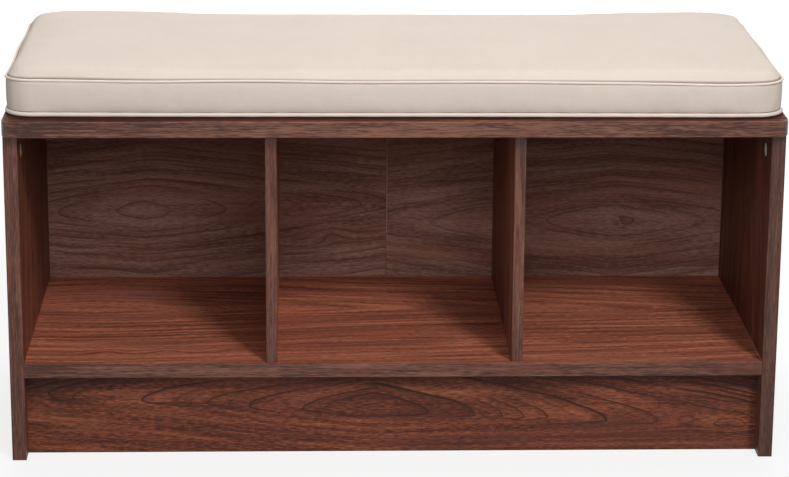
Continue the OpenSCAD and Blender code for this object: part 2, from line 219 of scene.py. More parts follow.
def wood_figure(f, u, v, seed, heart, above, below, *knots):
    """The figure of a flat-sawn board. u runs along the grain and v across it, in
    metres. heart is (u, v, tilt, ring): lens-shaped rings nest round that point, on an
    axis tilted by tilt, ring apart at their tips. above and below are (reach, width):
    how far back the flanks run on each side. knots are (u, v, size, lift). Returns
    late-wood lines, broad bands, streaks and pores, each 0 to 1."""
    heart_u, heart_v, tilt, ring = heart
    du = u - heart_u
    sway = f.noise((u * 5.0, v * 12.0), seed=seed) - 0.5
    ripple = f.noise((u * 30.0, v * 60.0), seed=seed + 3.1) - 0.5
    dv = v - heart_v - du * tilt + sway * 0.016 + ripple * 0.003
    rings = (du * du + 0.0001) ** 0.5
    slope = 0.0
    for (reach, width), limit in ((above, "MAXIMUM"), (below, "MINIMUM")):
        side = dv.math(limit, 0.0)
        root = (side * side * (1.0 / width ** 2) + 1.0) ** 0.5
        rings = rings + (root - 1.0) * reach
        slope = side * (reach / width ** 2) / root + slope
    for knot_u, knot_v, size, lift in knots:
        ku = (u - knot_u) * (0.5 / size)
        kv = (v - knot_v) * (1.0 / size)
        rings = rings + 2.718 ** (-(ku * ku + kv * kv)) * lift
    steep = (slope * slope + 1.0) ** 0.5
    spread = f.noise((rings * 9.0, u * 1.5), 1.0, seed=seed + 1.3) * 2.4
    count = rings / ring + spread
    before = (1.0 - count.math("FRACT")) * ring / steep
    number = count.math("FLOOR") * 7.3
    strength = f.noise((number, u * 7.0), 1.0, seed=seed + 5.5).ramp(0.41, 0.62)
    strength = strength * (ring / steep).ramp(0.8 * MM, 5 * MM)
    broad = f.noise((u * 3.5, v * 26.0, rings * 10.0), seed=seed + 6.0)
    streaks = f.noise((u * 7.0, (v + sway * 0.01) * 240.0), 3.0, 0.6, seed + 2.0)
    pores = f.noise((u * 110.0, (v + ripple * 0.001) * 760.0), 2.0, 0.6, seed + 4.0)
    core = (1.0 - before / LATE_WOOD).clamp() ** 0.7 * (0.2 + 1.2 * pores)
    line = (core + (1.0 - before / SOFT_SIDE).clamp() * 0.45) * strength
    return line, broad, streaks, pores


def wood_value(broad, streaks, pores, contrast=1.0):
    """How light the print is, about 0.5."""
    return 0.5 + ((broad - 0.5) * 1.5 + (streaks - 0.5) * 0.9 + (pores - 0.5) * 1.8) * contrast


def toned(painted_light, tones=CHERRY, painted_haze=0.0):
    """A print's tones, lighter or darker by painted_light and greyer by the share painted_haze:
    painted light and painted haze of reflected white, set for the light where each board stands.
    """
    return tuple(
        tuple(min(255.0, painted_light * (c + (sum(tone) / 3 - c) * painted_haze)) for c in tone) for tone in tones
    )


def board_finish(name, along, across, seed, cut, tones=CHERRY, contrast=1.0, bare=(),
                 gloss=0.42, shine=0.2, extra=None):
    """Printed cherry laminate. cut is the heart, the flanks and the knots of its figure. bare lists
    the directions whose edges show raw chipboard, and extra is a function that adds colour of its
    own, such as a rubbed line or a painted shadow."""
    f = Finish(name)
    place, facing = (dict(zip("xyz", three)) for three in (f.place(), f.facing()))
    u, v = place[along], place[across]
    line, broad, streaks, pores = wood_figure(f, u, v, seed, *cut)
    colour = f.colours(wood_value(broad, streaks, pores, contrast), zip(STEPS, tones))
    purple = f.noise((u * 5.0, v * 26.0), seed=seed + 11.0).ramp(0.5, 0.72)
    colour = f.mix(colour, share_of(tones[2], 0.84, 0.86, 1.0), purple * 0.5)
    colour = f.mix(colour, share_of(tones[1], 0.56), (line * contrast).clamp())
    if extra:
        colour = extra(f, colour, place, facing)
    rough = gloss + (streaks - 0.5) * 0.2 + line * 0.1
    height = pores * 0.6 + streaks * 0.4 - line * 0.7
    for direction in bare:
        axis, sign = direction[1], 1.0 if direction[0] == "+" else -1.0
        first, second = (place[a] for a in "xyz" if a != axis)
        grid = f.point(first * 420.0, second * 900.0)
        chip = f.node("TexVoronoi", None, Scale=1.0, output="all", Vector=grid)
        raw = f.colours(f.node("SeparateColor", None, chip[1]), RAW_CHIPS)
        mask = facing[axis] * sign > 0.7
        colour = f.mix(colour, raw, mask)
        rough = rough + mask * 0.4
        height = height + mask * chip[0] * 2.0
    return f.done(colour, rough, f.bump(height, 0.12 * MM, 0.5), shine)


def edging_finish(name, along, across, seed, tones, pale=0.0, sharp=1.0):
    """Plastic edge band printed with straight grain. pale is how much lighter its middle is painted
    than its ends, a painted highlight, and sharp how strong its streaks are."""
    f = Finish(name)
    place = dict(zip("xyz", f.place()))
    u, v = place[along], place[across]
    sway = (f.noise((u * 9.0, v * 40.0), seed=seed) - 0.5) * 0.0015
    broad = f.noise((u * 6.0, v * 90.0), seed=seed + 6.0)
    streaks = f.noise((u * 14.0, (v + sway) * 420.0), 3.0, 0.6, seed + 2.0)
    flecks = f.noise((u * 70.0, v * 1100.0), seed=seed + 4.0)
    value = 0.5 + (broad - 0.5) * 1.4 + ((streaks - 0.5) * 1.6 + (flecks - 0.5) * 1.6) * sharp
    # Painted highlight: the band's middle is made lighter than its ends, as reflected lamp light
    if pale:
        value = value + (u.near(0.02, 0.42) - 0.35) * pale
    colour = f.colours(value, zip(STEPS, tones))
    red = f.noise((u * 11.0, v * 60.0), seed=seed + 8.0).ramp(0.52, 0.72)
    colour = f.mix(colour, share_of(tones[2], 1.08, 0.88, 0.84), red * 0.6)
    rough = 0.32 + (streaks - 0.5) * 0.2
    bump = f.bump(streaks + flecks * 0.5, 0.07 * MM, 0.5)
    return f.done(colour, rough, bump, shine=0.3)


def hardboard_finish(name, seed, *cut):
    """Hardboard: the printed figure in front, its print worn along the fold, and raw
    brown fibre behind."""
    f = Finish(name)
    x, _, z = f.place()
    line, broad, streaks, pores = wood_figure(f, x, z, seed, *cut)
    front = f.colours(wood_value(broad, streaks, pores, 0.72), zip(STEPS, BACK_PRINT_PAINTED_LIGHT))
    rusty = f.noise((x * 4.0, z * 16.0), seed=seed + 12.0).ramp(0.45, 0.7)
    front = f.mix(front, (166, 104, 78), rusty * 0.4)
    front = f.mix(front, (92, 61, 52), (line * 0.62).clamp())
    worn = x.near(0.7 * MM, 1.3 * MM) * (z > 0.17) * (0.55 + 0.45 * streaks)
    front = f.mix(front, (214, 176, 158), worn * 0.75)
    flecks = f.noise((x * 320.0, z * 320.0), 3.0, 0.7, seed + 20.0)
    blotch = f.noise((x * 9.0, z * 9.0), 3.0, 0.6, seed + 21.0)
    back = f.colours(flecks * 0.6 + blotch * 0.4, RAW_FIBRE)
    behind = f.facing()[1] > 0.3
    height = flecks * behind + pores * (1.0 - behind) * 0.4
    bump = f.bump(height, 0.15 * MM, 0.6)
    return f.done(f.mix(front, back, behind), 0.5 + behind * 0.3, bump, shine=0.15)


def rubbed_foot(f, colour, place, facing):
    """The side's print is rubbed through in a fine pale line where the shelf meets it."""
    inner = (facing["x"] < -0.5) * (place["x"] > 0.0)
    line = place["z"].near(shelf_top + 0.5 * MM, 1.4 * MM) * (place["y"] < 0.1) * inner
    return f.mix(colour, (190, 146, 122), line * 0.9)


def painted_cushion_shadow(f, colour, place, facing):
    """Painted shadow: the top board is darkened where the cushion lies and a little way round it,
    as the cushion's contact shadow.
    """
    half_x, half_y, radius, blur, middle_y = 0.4335, 0.1838, 0.036, 0.004, 0.008
    over_x = (place["x"].math("ABSOLUTE") - (half_x - radius)).math("MAXIMUM", 0.0)
    over_y = ((place["y"] - middle_y).math("ABSOLUTE") - (half_y - radius)).math("MAXIMUM", 0.0)
    outside = (over_x * over_x + over_y * over_y) ** 0.5 - radius
    painted_shadow = (1.0 - outside.ramp(-blur, blur)) * (facing["z"] > 0.5)
    # Painted shadow: the colour is mixed towards near black inside the cushion's outline, with a
    # soft edge
    return f.mix(colour, (24, 9, 6), painted_shadow * 0.7)


def clad(node, material):
    """Gives a CAD node its finish."""
    nodes[node].data.materials.clear()
    nodes[node].data.materials.append(material)


# ---- Small parts ----

def metal_finish(name, colour, roughness, seed, metallic=1.0):
    """Metal. Where metallic is under 1 it has an oxide skin, as cast zinc has."""
    f = Finish(name)
    place = f.place()
    cast = f.noise([a * 900.0 for a in place], 3.0, 0.6, seed)
    stain = f.noise([a * 160.0 for a in place], seed=seed + 1.0)
    tone = f.mix(colour, share_of(colour, 0.78), stain.ramp(0.35, 0.7))
    rough = roughness + (cast - 0.5) * 0.25
    return f.done(tone, rough, f.bump(cast, 0.05 * MM, 0.5), metallic=metallic)


def beech_finish():
    f = Finish("beech_dowel")
    x, y, z = f.place()
    flecks = f.noise((x * 300.0, y * 300.0, z * 60.0), 3.0, 0.6, 2.0)
    colour = f.colours(flecks, [
        (0.3, (176, 140, 98)), (0.5, (203, 170, 124)), (0.7, (220, 190, 146)),
    ])
    return f.done(colour, 0.65 + flecks * 0.1, f.bump(flecks, 0.1 * MM, 0.5))


def tape_finish():
    """Paper tape, creased down its middle where the back folds, with painted shade along the
    crease.
    """
    f = Finish("fold_tape")
    x, _, z = f.place()
    crepe = f.noise((x * 90.0, z * 700.0), 3.0, 0.6, 5.0)
    colour = f.colours(crepe, [(0.3, (88, 60, 46)), (0.7, (118, 84, 64))])
    crease_and_painted_shade = x.near(0.0, 1.2 * MM)
    # Painted shade: the tape is darkened along its crease
    colour = f.mix(colour, (64, 42, 33), crease_and_painted_shade * 0.7)
    return f.done(colour, 0.45, f.bump(crepe - crease_and_painted_shade, 0.1 * MM, 0.5))


# ---- Scene ----

def add(name, data):
    """A new object in the scene."""
    made = bpy.data.objects.new(name, data)
    scene.collection.objects.link(made)
    return made


def camera():
    """A long lens in front of the bench and above it. Its turns are in radians."""
    pitch, yaw, roll = 0.276, 0.0345, 0.007
    data = bpy.data.cameras.new("camera")
    data.lens, data.sensor_width = 127.2, 36.0
    data.clip_start, data.clip_end = 0.1, 60.0
    made = add("camera", data)
    made.location = (-0.1043, -3.1563, 1.1086)
    turn = Matrix.Rotation(-yaw, 3, "Z") @ Matrix.Rotation(pi / 2 - pitch, 3, "X")
    made.rotation_euler = (turn @ Matrix.Rotation(roll, 3, "Z")).to_euler()
    scene.camera = made


def lamps():
    """Soft lamps that face the middle of the bench: each one's place, its width and
    height, and its power."""
    middle = Vector((0.0, 0.0, 0.25))
    for name, place, size, power in (
        ("key", (1.52, -3.6, 3.29), (0.8, 0.64), 112.0),
        ("fill", (0.0, -1.5, 0.95), (0.9, 0.4), 6.5),
        ("overhead", (0.0, 0.45, 2.7), (1.6, 1.1), 29.0),
        ("behind", (0.0, 2.9, 1.0), (2.4, 1.2), 34.0),
        ("left_rim", (-2.4, -1.1, 0.6), (0.4, 1.4), 9.0),
        ("right_rim", (2.4, -1.3, 0.7), (0.4, 1.2), 5.0),
    ):
        data = bpy.data.lights.new(name, "AREA")
        data.shape = "RECTANGLE"
        data.size, data.size_y = size
        data.energy = power
        made = add(name, data)
        made.location = place
        made.rotation_euler = (middle - made.location).to_track_quat("-Z", "Y").to_euler()


def studio():
    """An even world, bright to the camera and in reflections, and dim as a light."""
    scene.view_settings.view_transform = "Standard"
    w = Finish("studio", bpy.data.worlds)
    strength = w.node("MapRange", None, Value=w.seen(), To_Min=0.2, To_Max=1.0)
    scene.world = w.end(w.node("Background", None, Strength=strength), "OutputWorld")


def floor():
    """A white floor that brightens away from the bench and is clear from below."""
    half = 14.0
    mesh = bpy.data.meshes.new("floor")
    corners = [(-half, -half, 0), (half, -half, 0), (half, half, 0), (-half, half, 0)]
    mesh.from_pydata(corners, [], [(0, 1, 2, 3)])
    made = add("floor", mesh)
    f = Finish("white_floor")
    x, y, _ = f.place()
    away = (x * x + y * y).math("SQRT").ramp(0.7, 2.2)
    paint = f.node("BsdfDiffuse", None, (0.22, 0.22, 0.22, 1.0))
    glow = f.node("Emission", None, (1.0, 1.0, 1.0, 1.0), f.seen() * (0.78 + away * 0.22))
    both = f.node("AddShader", None, paint, glow)
    under = f.node("NewGeometry", None, output="Backfacing")
    clear = f.node("BsdfTransparent")
    mesh.materials.append(f.end(f.node("MixShader", None, under, both, clear)))


camera()
lamps()
studio()
floor()

# Boards, each with its own cut of the figure
clad("kick_board", board_finish(
    "kick_veneer", "x", "z", 3.0, [
        (-0.02, 0.048, -0.045, 0.030), (0.336, 0.040), (0.080, 0.005),
        (-0.405, 0.060, 0.007, 0.10), (0.336, 0.036, 0.007, 0.08), (0.392, 0.030, 0.012, -0.10),
    ], toned(1.07), bare=("-z",),
))
# Painted light and painted haze: the shelf's print is made much lighter and greyer than the kick's,
# for the dim cubbies
clad("bottom_shelf", board_finish(
    "shelf_veneer", "x", "y", 5.0, [
        (-0.36, 0.045, 0.0, 0.055), (0.30, 0.030), (0.16, 0.012),
        (-0.33, -0.118, 0.012, 0.16), (-0.26, -0.116, 0.010, 0.12), (-0.18, -0.112, 0.009, 0.10),
    ], toned(1.86, painted_haze=0.16), 0.62,
))
clad("top_panel", board_finish(
    "top_veneer", "x", "y", 7.0, [(0.1, 0.03, 0.02, 0.05), (0.30, 0.030), (0.2, 0.020)],
    gloss=0.6, shine=0.05, extra=painted_cushion_shadow,
))
flanks = (0.30, 0.040), (0.2, 0.030)
# Painted light: each side's boards and bands get their own lighter or darker copy of one print, the
# dividers lightest
for side, seed, side_painted_light, divider_painted_light, band_painted_light in (
    ("left", 11.0, 1.12, 1.85, 0.98), ("right", 13.0, 1.0, 1.2, 0.84),
):
    clad(side + "_side_panel", board_finish(
        side + "_side_veneer", "z", "y", seed, [(0.1, -0.03, 0.05, 0.04), *flanks],
        toned(side_painted_light, painted_haze=0.05), 0.8, bare=("-z", "+y"), extra=rubbed_foot,
    ))
    clad(side + "_divider", board_finish(
        side + "_divider_veneer", "z", "y", seed + 4.0, [(0.2, 0.02, 0.04, 0.04), *flanks],
        toned(divider_painted_light, painted_haze=0.12), 0.8,
    ))
    clad(side + "_side_edge_band", edging_finish(
        side + "_side_edging", "z", "x", seed + 1.0, toned(band_painted_light, MAPLE),
    ))
    clad(side + "_divider_edge_band", edging_finish(
        side + "_divider_edging", "z", "x", seed + 2.0, MAPLE,
    ))
# The top and shelf bands carry a painted highlight in their middles
clad("top_edge_band", edging_finish("top_edging", "x", "z", 21.0, MAPLE, 0.42, 1.8))
clad("shelf_edge_band", edging_finish("shelf_edging", "x", "z", 22.0, MAPLE, 0.25, 1.5))
clad("back_panel_left", hardboard_finish(
    "left_back_print", 31.0, (-0.30, 0.20, 0.02, 0.04), (0.30, 0.030), (0.20, 0.020),
    (-0.07, 0.17, 0.012, 0.10),
))
clad("back_panel_right", hardboard_finish(
    "right_back_print", 33.0, (0.285, 0.185, 0.0, 0.03), (0.17, 0.020), (0.17, 0.020),
    (0.277, 0.185, 0.007, 0.05),
))
clad("back_fold_tape", tape_finish())
cast_zinc = metal_finish("cast_zinc", (238, 234, 226), 0.42, 1.0, 0.05)
bright_steel = metal_finish("bright_steel", (200, 200, 198), 0.28, 2.0)
beech = beech_finish()
for group in ("top", "shelf", "kick"):
    clad(group + "_cam_locks", cast_zinc)
    clad(group + "_cam_bolts", bright_steel)
    clad(group + "_dowels", beech)
clad("divider_dowels", beech)
clad("divider_screws", bright_steel)
clad("back_nails", bright_steel)


# ---- What repeats: stitches, coil, hooks and loops ----

class Workings(Finish):
    """A Geometry Nodes tree in the making: its inputs are a mesh, its sizes and a
    material."""

    def __init__(self, name, sizes):
        self.tree = bpy.data.node_groups.new(name, "GeometryNodeTree")
        self.socket("Geometry", "Geometry")
        for key, value in sizes.items():
            self.socket(key, "Float").default_value = value
        self.socket("Material", "Material")
        self.socket("Geometry", "Geometry", "OUTPUT")
        given = self.node("NodeGroupInput", output="all")[:len(sizes) + 2]
        self.start, *self.sizes, self.material = given

    def socket(self, name, kind, way="INPUT"):
        kind = "NodeSocket" + kind
        return self.tree.interface.new_socket(name, in_out=way, socket_type=kind)

    def random(self, low, high, seed):
        return self.node(
            "FunctionNodeRandomValue", {"data_type": "FLOAT"}, None, None, low, high,
            Seed=seed, output=1,
        )

    def done(self, instances):
        """Ends the tree: real, smooth and in its material."""
        real = self.node("GeometryNodeRealizeInstances", None, instances)
        soft = self.node("GeometryNodeSetShadeSmooth", None, real)
        self.end(self.node(
            "GeometryNodeSetMaterial", None, Geometry=soft, Material=self.material,
        ), "NodeGroupOutput")
        return self.tree


def stitch_rows():
    """Beads set along lines of points: stitches, or the turns of a coil. Turn is the
    bead's angle to the line, and Sway how far every other one lies to each side. The
    points carry the way out of the surface as the vector out."""
    w = Workings("stitch_rows", {
        "Pitch": 3 * MM, "Length": 2 * MM, "Thickness": 0.5 * MM, "Turn": 0.0, "Sway": 0.0,
    })
    pitch, length, thickness, turn, sway = w.sizes
    line = w.node("GeometryNodeMeshToCurve", None, w.start)
    line = w.node("GeometryNodeResampleCurve", {"mode": "LENGTH"}, Curve=line, Length=pitch)
    run = w.node("GeometryNodeInputTangent")
    out = w.node("GeometryNodeInputNamedAttribute", {"data_type": "FLOAT_VECTOR"}, "out")
    across = w.node("VectorMath", {"operation": "CROSS_PRODUCT"}, out, run)
    side = (w.node("GeometryNodeInputIndex").math("MODULO", 2.0) - 0.5) * sway
    shift = w.node("VectorMath", {"operation": "SCALE"}, across, Scale=side)
    line = w.node("GeometryNodeSetPosition", None, Geometry=line, Offset=shift)
    align = "FunctionNodeAlignRotationToVector"
    aim = w.node(align, {"axis": "X"}, Vector=run)
    aim = w.node(align, {"axis": "Z", "pivot_axis": "X"}, Rotation=aim, Vector=out)
    spin = w.node("FunctionNodeAxisAngleToRotation", None, Angle=turn + w.random(-0.07, 0.07, 4))
    aim = w.node("FunctionNodeRotateRotation", {"rotation_space": "LOCAL"}, aim, spin)
    bead = w.node("GeometryNodeMeshUVSphere", None, Segments=6, Rings=4, Radius=0.5)
    return w.done(w.node(
        "GeometryNodeInstanceOnPoints", None, Points=line, Instance=bead, Rotation=aim,
        Scale=w.point(length, thickness, thickness),
    ))


def pile():
    """Bent threads on points: loops, or hooks where Sweep is past a half turn. Tip
    turns them over, Scatter moves them about and Twist turns them about."""
    w = Workings("pile", {
        "Radius": 0.5 * MM, "Thickness": 0.1 * MM, "Start": 0.0, "Sweep": pi,
        "Tip": 0.0, "Scatter": 0.0, "Twist": 0.3,
    })
    radius, thickness, start, sweep, tip, scatter, twist = w.sizes
    shift = w.point(w.random(-scatter, scatter, 1), w.random(-scatter, scatter, 2), 0.0)
    points = w.node("GeometryNodeSetPosition", None, Geometry=w.start, Offset=shift)
    by_radius = {"mode": "RADIUS"}
    arc = w.node(
        "GeometryNodeCurveArc", by_radius, Resolution=6, Radius=radius, Start_Angle=start,
        Sweep_Angle=sweep,
    )
    section = w.node(
        "GeometryNodeCurvePrimitiveCircle", by_radius, Resolution=4, Radius=thickness / 2.0,
    )
    wire = w.node("GeometryNodeCurveToMesh", None, Curve=arc, Profile_Curve=section, Fill_Caps=True)
    wire = w.node(
        "GeometryNodeTransform", None, Geometry=wire, Rotation=(pi / 2, 0.0, 0.0),
        Translation=w.point(0.0, 0.0, start.math("SINE") * radius * -1.0),
    )
    size = w.random(0.85, 1.0, 6)
    return w.done(w.node(
        "GeometryNodeInstanceOnPoints", None, Points=points, Instance=wire,
        Rotation=w.point(tip, 0.0, w.random(-twist, twist, 5)), Scale=w.point(size, size, size),
    ))


def worked(name, tree, points, material, body, slot, lines=(), out=None, **sizes):
    """Runs a tree on points, or on the lines that join them, as a plain piece."""
    mesh = bpy.data.meshes.new(name)
    mesh.from_pydata([tuple(p) for p in points], lines, [])
    if out is not None:
        layer = mesh.attributes.new("out", "FLOAT_VECTOR", "POINT")
        layer.data.foreach_set("vector", np.ravel(out).astype(float))
    made = add(name, mesh)
    modifier = made.modifiers.new("workings", "NODES")
    modifier.node_group = tree
    for item in tree.interface.items_tree:
        if item.in_out == "INPUT" and item.name in sizes:
            modifier[item.identifier] = sizes[item.name]
        elif item.name == "Material":
            modifier[item.identifier] = material
    settled_mesh(made)
    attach(made, body)
    return made


# ---- Cushion ----

# How far apart a cord's rings of points are, and the width of the folds at corners
CORD_STEP, FOLD_WIDTH = 3.5 * MM, 11 * MM
# How high the flat underside lies over the top board
UNDER_GAP = 2.3 * MM
CLOTH_FRAMES = 20
CLOTH = {
    "quality": 6, "mass": 0.25, "tension_stiffness": 18.0, "compression_stiffness": 18.0,
    "shear_stiffness": 8.0, "bending_stiffness": 0.12, "shrink_min": -0.012,
    "use_pressure": True, "uniform_pressure_force": 4.0, "vertex_group_mass": "sewn",
}

seat_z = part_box("top_panel")[1].z
lower_box, upper_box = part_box("lower_piping"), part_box("upper_piping")
crown_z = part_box("cushion_top_panel")[1].z
cushion_y = (lower_box[0].y + lower_box[1].y) / 2
piping_r = (lower_box[1].z - lower_box[0].z) / 2
piping_x = lower_box[1].x - piping_r
piping_y = (lower_box[1].y - lower_box[0].y) / 2 - piping_r
corner_r = 29 * MM
lower_z = lower_box[0].z + piping_r
upper_z = upper_box[0].z + piping_r
seam_in = 0.7 * piping_r


def settle(points):
    """Moves points of the cushion as years of sitting have: the front edge runs a
    little askew, its right end droops, and the seams wander."""
    x, y, z = np.array(points, float).T
    front = np.clip((cushion_y - y) / piping_y, 0.0, 1.0) ** 2
    end = np.clip(np.abs(x) / piping_x, 0.0, 1.0) ** 6
    high = np.clip((z - lower_z) / (upper_z - lower_z), 0.0, 1.0)
    droop = np.exp(-(((x - 0.372) / 0.065) ** 2))
    askew = [4.5 * MM, 1.5 * MM, 0.0, -4.0 * MM, -2.0 * MM]
    y = y + front * np.interp(x, [-0.43, -0.25, 0.05, 0.37, 0.43], askew)
    y = y + front * high * 0.7 * MM * np.sin(x * 31.0 + 0.6)
    x = x + end * high * 0.8 * MM * np.sin(y * 37.0 + 1.0) * np.sign(x)
    z = z - front * high * (2.4 * MM * droop + 0.5 * MM * np.sin(x * 23.0 + 2.0))
    z = z + high * 0.8 * MM * np.clip(-x / 0.3, -1.0, 1.0)
    return np.stack([x, y, z], 1)


def rounded(half_x, half_y, radius, along_x, along_y):
    """A point of a rounded rectangle. along_x runs -1 to 1 over a long side and half
    of each corner beside it; along_y does so over a short side."""
    if abs(along_y) < 1.0 and abs(along_x) >= 1.0:
        point = rounded(half_y, half_x, radius, along_y, along_x)
        return point[1], point[0]
    straight = half_x - radius
    run = abs(along_x) * (straight + radius * pi / 4)
    turn = max(0.0, run - straight) / radius if radius > 0 else 0.0
    x = min(run, straight) + radius * sin(turn)
    y = half_y - radius + radius * cos(turn)
    return copysign(x, along_x), copysign(y, along_y)


def panel_grid(half_x, half_y, radius, cells_x, cells_y):
    """Points of a panel as a grid whose border follows the rounded outline."""
    grid = np.zeros((cells_x + 1, cells_y + 1, 2))
    for i in range(cells_x + 1):
        for j in range(cells_y + 1):
            ring = min(i, cells_x - i, j, cells_y - j)
            left_x, left_y = cells_x / 2 - ring, cells_y / 2 - ring
            share = 1.0 - ring / (cells_y / 2)
            if left_y == 0:
                grid[i, j] = ((i - cells_x / 2) * 2 * half_x / cells_x, 0.0)
            else:
                grid[i, j] = rounded(
                    left_x * 2 * half_x / cells_x, left_y * 2 * half_y / cells_y,
                    radius * share, (i - cells_x / 2) / left_x, (j - cells_y / 2) / left_y,
                )
    return grid


def crown(x, y, half_x, half_y, *parts):
    """How far the stuffed panel has risen, 0 at its seams to 1 past the border. Each
    part is a share of the rise and the run over which it rises, as a quarter round."""
    def rise(distance):
        distance = np.clip(distance, 0.0, None)
        return sum(
            share * np.sqrt(1.0 - (1.0 - np.clip(distance / run, 0.0, 1.0)) ** 2)
            for share, run in parts
        )
    over_x = np.clip(np.abs(x) - half_x + corner_r, 0.0, None)
    over_y = np.clip(np.abs(y) - half_y + corner_r, 0.0, None)
    to_corner = np.where(over_x * over_y > 0, corner_r - np.hypot(over_x, over_y), 1.0)
    to_sides = rise(half_x - np.abs(x)) * rise(half_y - np.abs(y))
    return np.minimum(to_sides, rise(to_corner))


def border(cells_x, cells_y):
    """Grid places round a panel's border, anticlockwise from above."""
    return (
        [(i, 0) for i in range(cells_x)] + [(cells_x, j) for j in range(cells_y)]
        + [(i, cells_y) for i in range(cells_x, 0, -1)] + [(0, j) for j in range(cells_y, 0, -1)]
    )


def cover_blank(cell, levels):
    """The cushion's cover as it is cut and sewn: points, faces, each face's cloth
    coordinates, the points of its two seams, and those of the flat underside. levels
    are the heights of the boxing's rows of points, as shares of its width."""
    half_x, half_y = piping_x - seam_in, piping_y - seam_in
    cells_x, cells_y = 2 * round(half_x / cell), 2 * round(half_y / cell)
    flat = panel_grid(half_x, half_y, corner_r - seam_in, cells_x, cells_y)
    x, y = flat[..., 0], flat[..., 1]
    seam_top, seam_low = upper_z + 0.2 * piping_r, lower_z + 0.7 * piping_r
    rise = crown(x, y, half_x, half_y, (0.64, 8 * MM), (0.36, 85 * MM))
    sway = 1.0 - 0.08 * (np.abs(x) / half_x) ** 3
    top = np.stack([x, y + cushion_y, seam_top + (crown_z - seam_top) * rise * sway], -1)
    edge = crown(x, y, half_x, half_y, (1.0, 12 * MM))
    low_z = seam_low - (seam_low - seat_z - UNDER_GAP) * edge
    low = np.stack([x, y + cushion_y, low_z], -1)
    points = list(top.reshape(-1, 3)) + list(low.reshape(-1, 3))
    size = top.shape[0] * top.shape[1]

    def spot(i, j):
        return i * (cells_y + 1) + j
    faces, cloth = [], []
    for i in range(cells_x):
        for j in range(cells_y):
            square = [(i, j), (i + 1, j), (i + 1, j + 1), (i, j + 1)]
            faces.append([spot(*s) for s in square])
            faces.append([size + spot(*s) for s in reversed(square)])
            cloth.append([tuple(flat[s]) for s in square])
            cloth.append(cloth[-1][::-1])
    ring = border(cells_x, cells_y)
    rows = [[size + spot(*s) for s in ring]]
    rim = np.array([flat[s] for s in ring])
    steps = np.linalg.norm(np.roll(rim, -1, 0) - rim, axis=1)
    lengths = np.concatenate([[0.0], np.cumsum(steps)])
    straight = np.array([half_x, half_y]) - corner_r
    out = rim - np.clip(rim, -straight, straight)
    out = out / np.linalg.norm(out, axis=1)[:, None]
    # corner is 1 at a corner and 0 from 75 mm off. The boxing is flatter and puckered
    # there. It bellies out elsewhere, and least at the rear, where the zip holds it
    reach = 75 * MM
    corner = np.minimum(*(
        np.clip(np.abs(rim[:, k]) - half + reach, 0, reach) / reach
        for k, half in enumerate((half_x, half_y))
    ))
    rear = out[:, 1] > 0.7
    for share in levels[1:-1]:
        belly = sin(pi * share) ** 0.15
        waves = np.sin(lengths[:-1] / FOLD_WIDTH * 2 * pi + 3.0 * share)
        folds = waves * corner ** 4 * (out[:, 1] < 0.7)
        bulge = belly * (3.3 * MM - 2.6 * MM * corner ** 2) + belly ** 3 * folds * 1.2 * MM
        bulge = bulge * np.where(rear, 0.3, 1.0)
        rows.append(list(range(len(points), len(points) + len(ring))))
        z = seam_low + (seam_top - seam_low) * share
        points += [(p[0], p[1] + cushion_y, z) for p in rim + out * bulge[:, None]]
    rows.append([spot(*s) for s in ring])
    for row in range(len(levels) - 1):
        under, over = rows[row], rows[row + 1]
        z0, z1 = ((seam_top - seam_low) * level for level in levels[row:row + 2])
        for k in range(len(ring)):
            after = (k + 1) % len(ring)
            u0, u1 = lengths[k], lengths[k + 1]
            faces.append([under[k], under[after], over[after], over[k]])
            cloth.append([(u0, z0), (u1, z0), (u1, z1), (u0, z1)])
    return np.array(points), faces, cloth, (set(rows[0]), set(rows[-1])), set(range(size, 2 * size))


def puff(points, faces, sewn, cap):
    """Fills the cover: cloth under pressure, held at its seams, and never further than
    cap from the shape it was cut to."""
    mesh = bpy.data.meshes.new("puffing")
    mesh.from_pydata([tuple(p) for p in points], [], faces)
    thing = add("puffing", mesh)
    thing.vertex_groups.new(name="sewn").add(sorted(sewn), 1.0, "REPLACE")
    cloth = thing.modifiers.new("cloth", "CLOTH")
    for key, value in CLOTH.items():
        setattr(cloth.settings, key, value)
    cloth.settings.effector_weights.gravity = 0.0
    cloth.collision_settings.use_collision = False
    cloth.point_cache.frame_start, cloth.point_cache.frame_end = 1, CLOTH_FRAMES
    for number in range(1, CLOTH_FRAMES + 1):
        scene.frame_set(number)
    shown = thing.evaluated_get(bpy.context.evaluated_depsgraph_get()).to_mesh()
    moved = np.array([v.co for v in shown.vertices])
    scene.frame_set(1)
    bpy.data.objects.remove(thing)
    bpy.data.meshes.remove(mesh)
    shift = moved - points
    broad = smooth(shift, faces, 40)
    fine = shift - broad
    reach = np.linalg.norm(broad, axis=1)[:, None] + 1e-9
    broad = broad / reach * cap * np.tanh(reach / cap)
    fine = 0.5 * np.clip(fine, -1.5 * MM, 1.5 * MM)
    return points + broad + fine


def smooth(values, faces, rounds):
    """Averages values with their neighbours, so many times."""
    quads = np.array(faces)
    pairs = np.concatenate([quads[:, [k, (k + 1) % 4]] for k in range(4)])
    here, there = np.concatenate([pairs, pairs[:, ::-1]]).T
    count = np.bincount(here, minlength=len(values))[:, None]
    for _ in range(rounds):
        total = np.stack([np.bincount(here, column[there], len(values)) for column in values.T], 1)
        values = (values + total / count) / 2
    return values


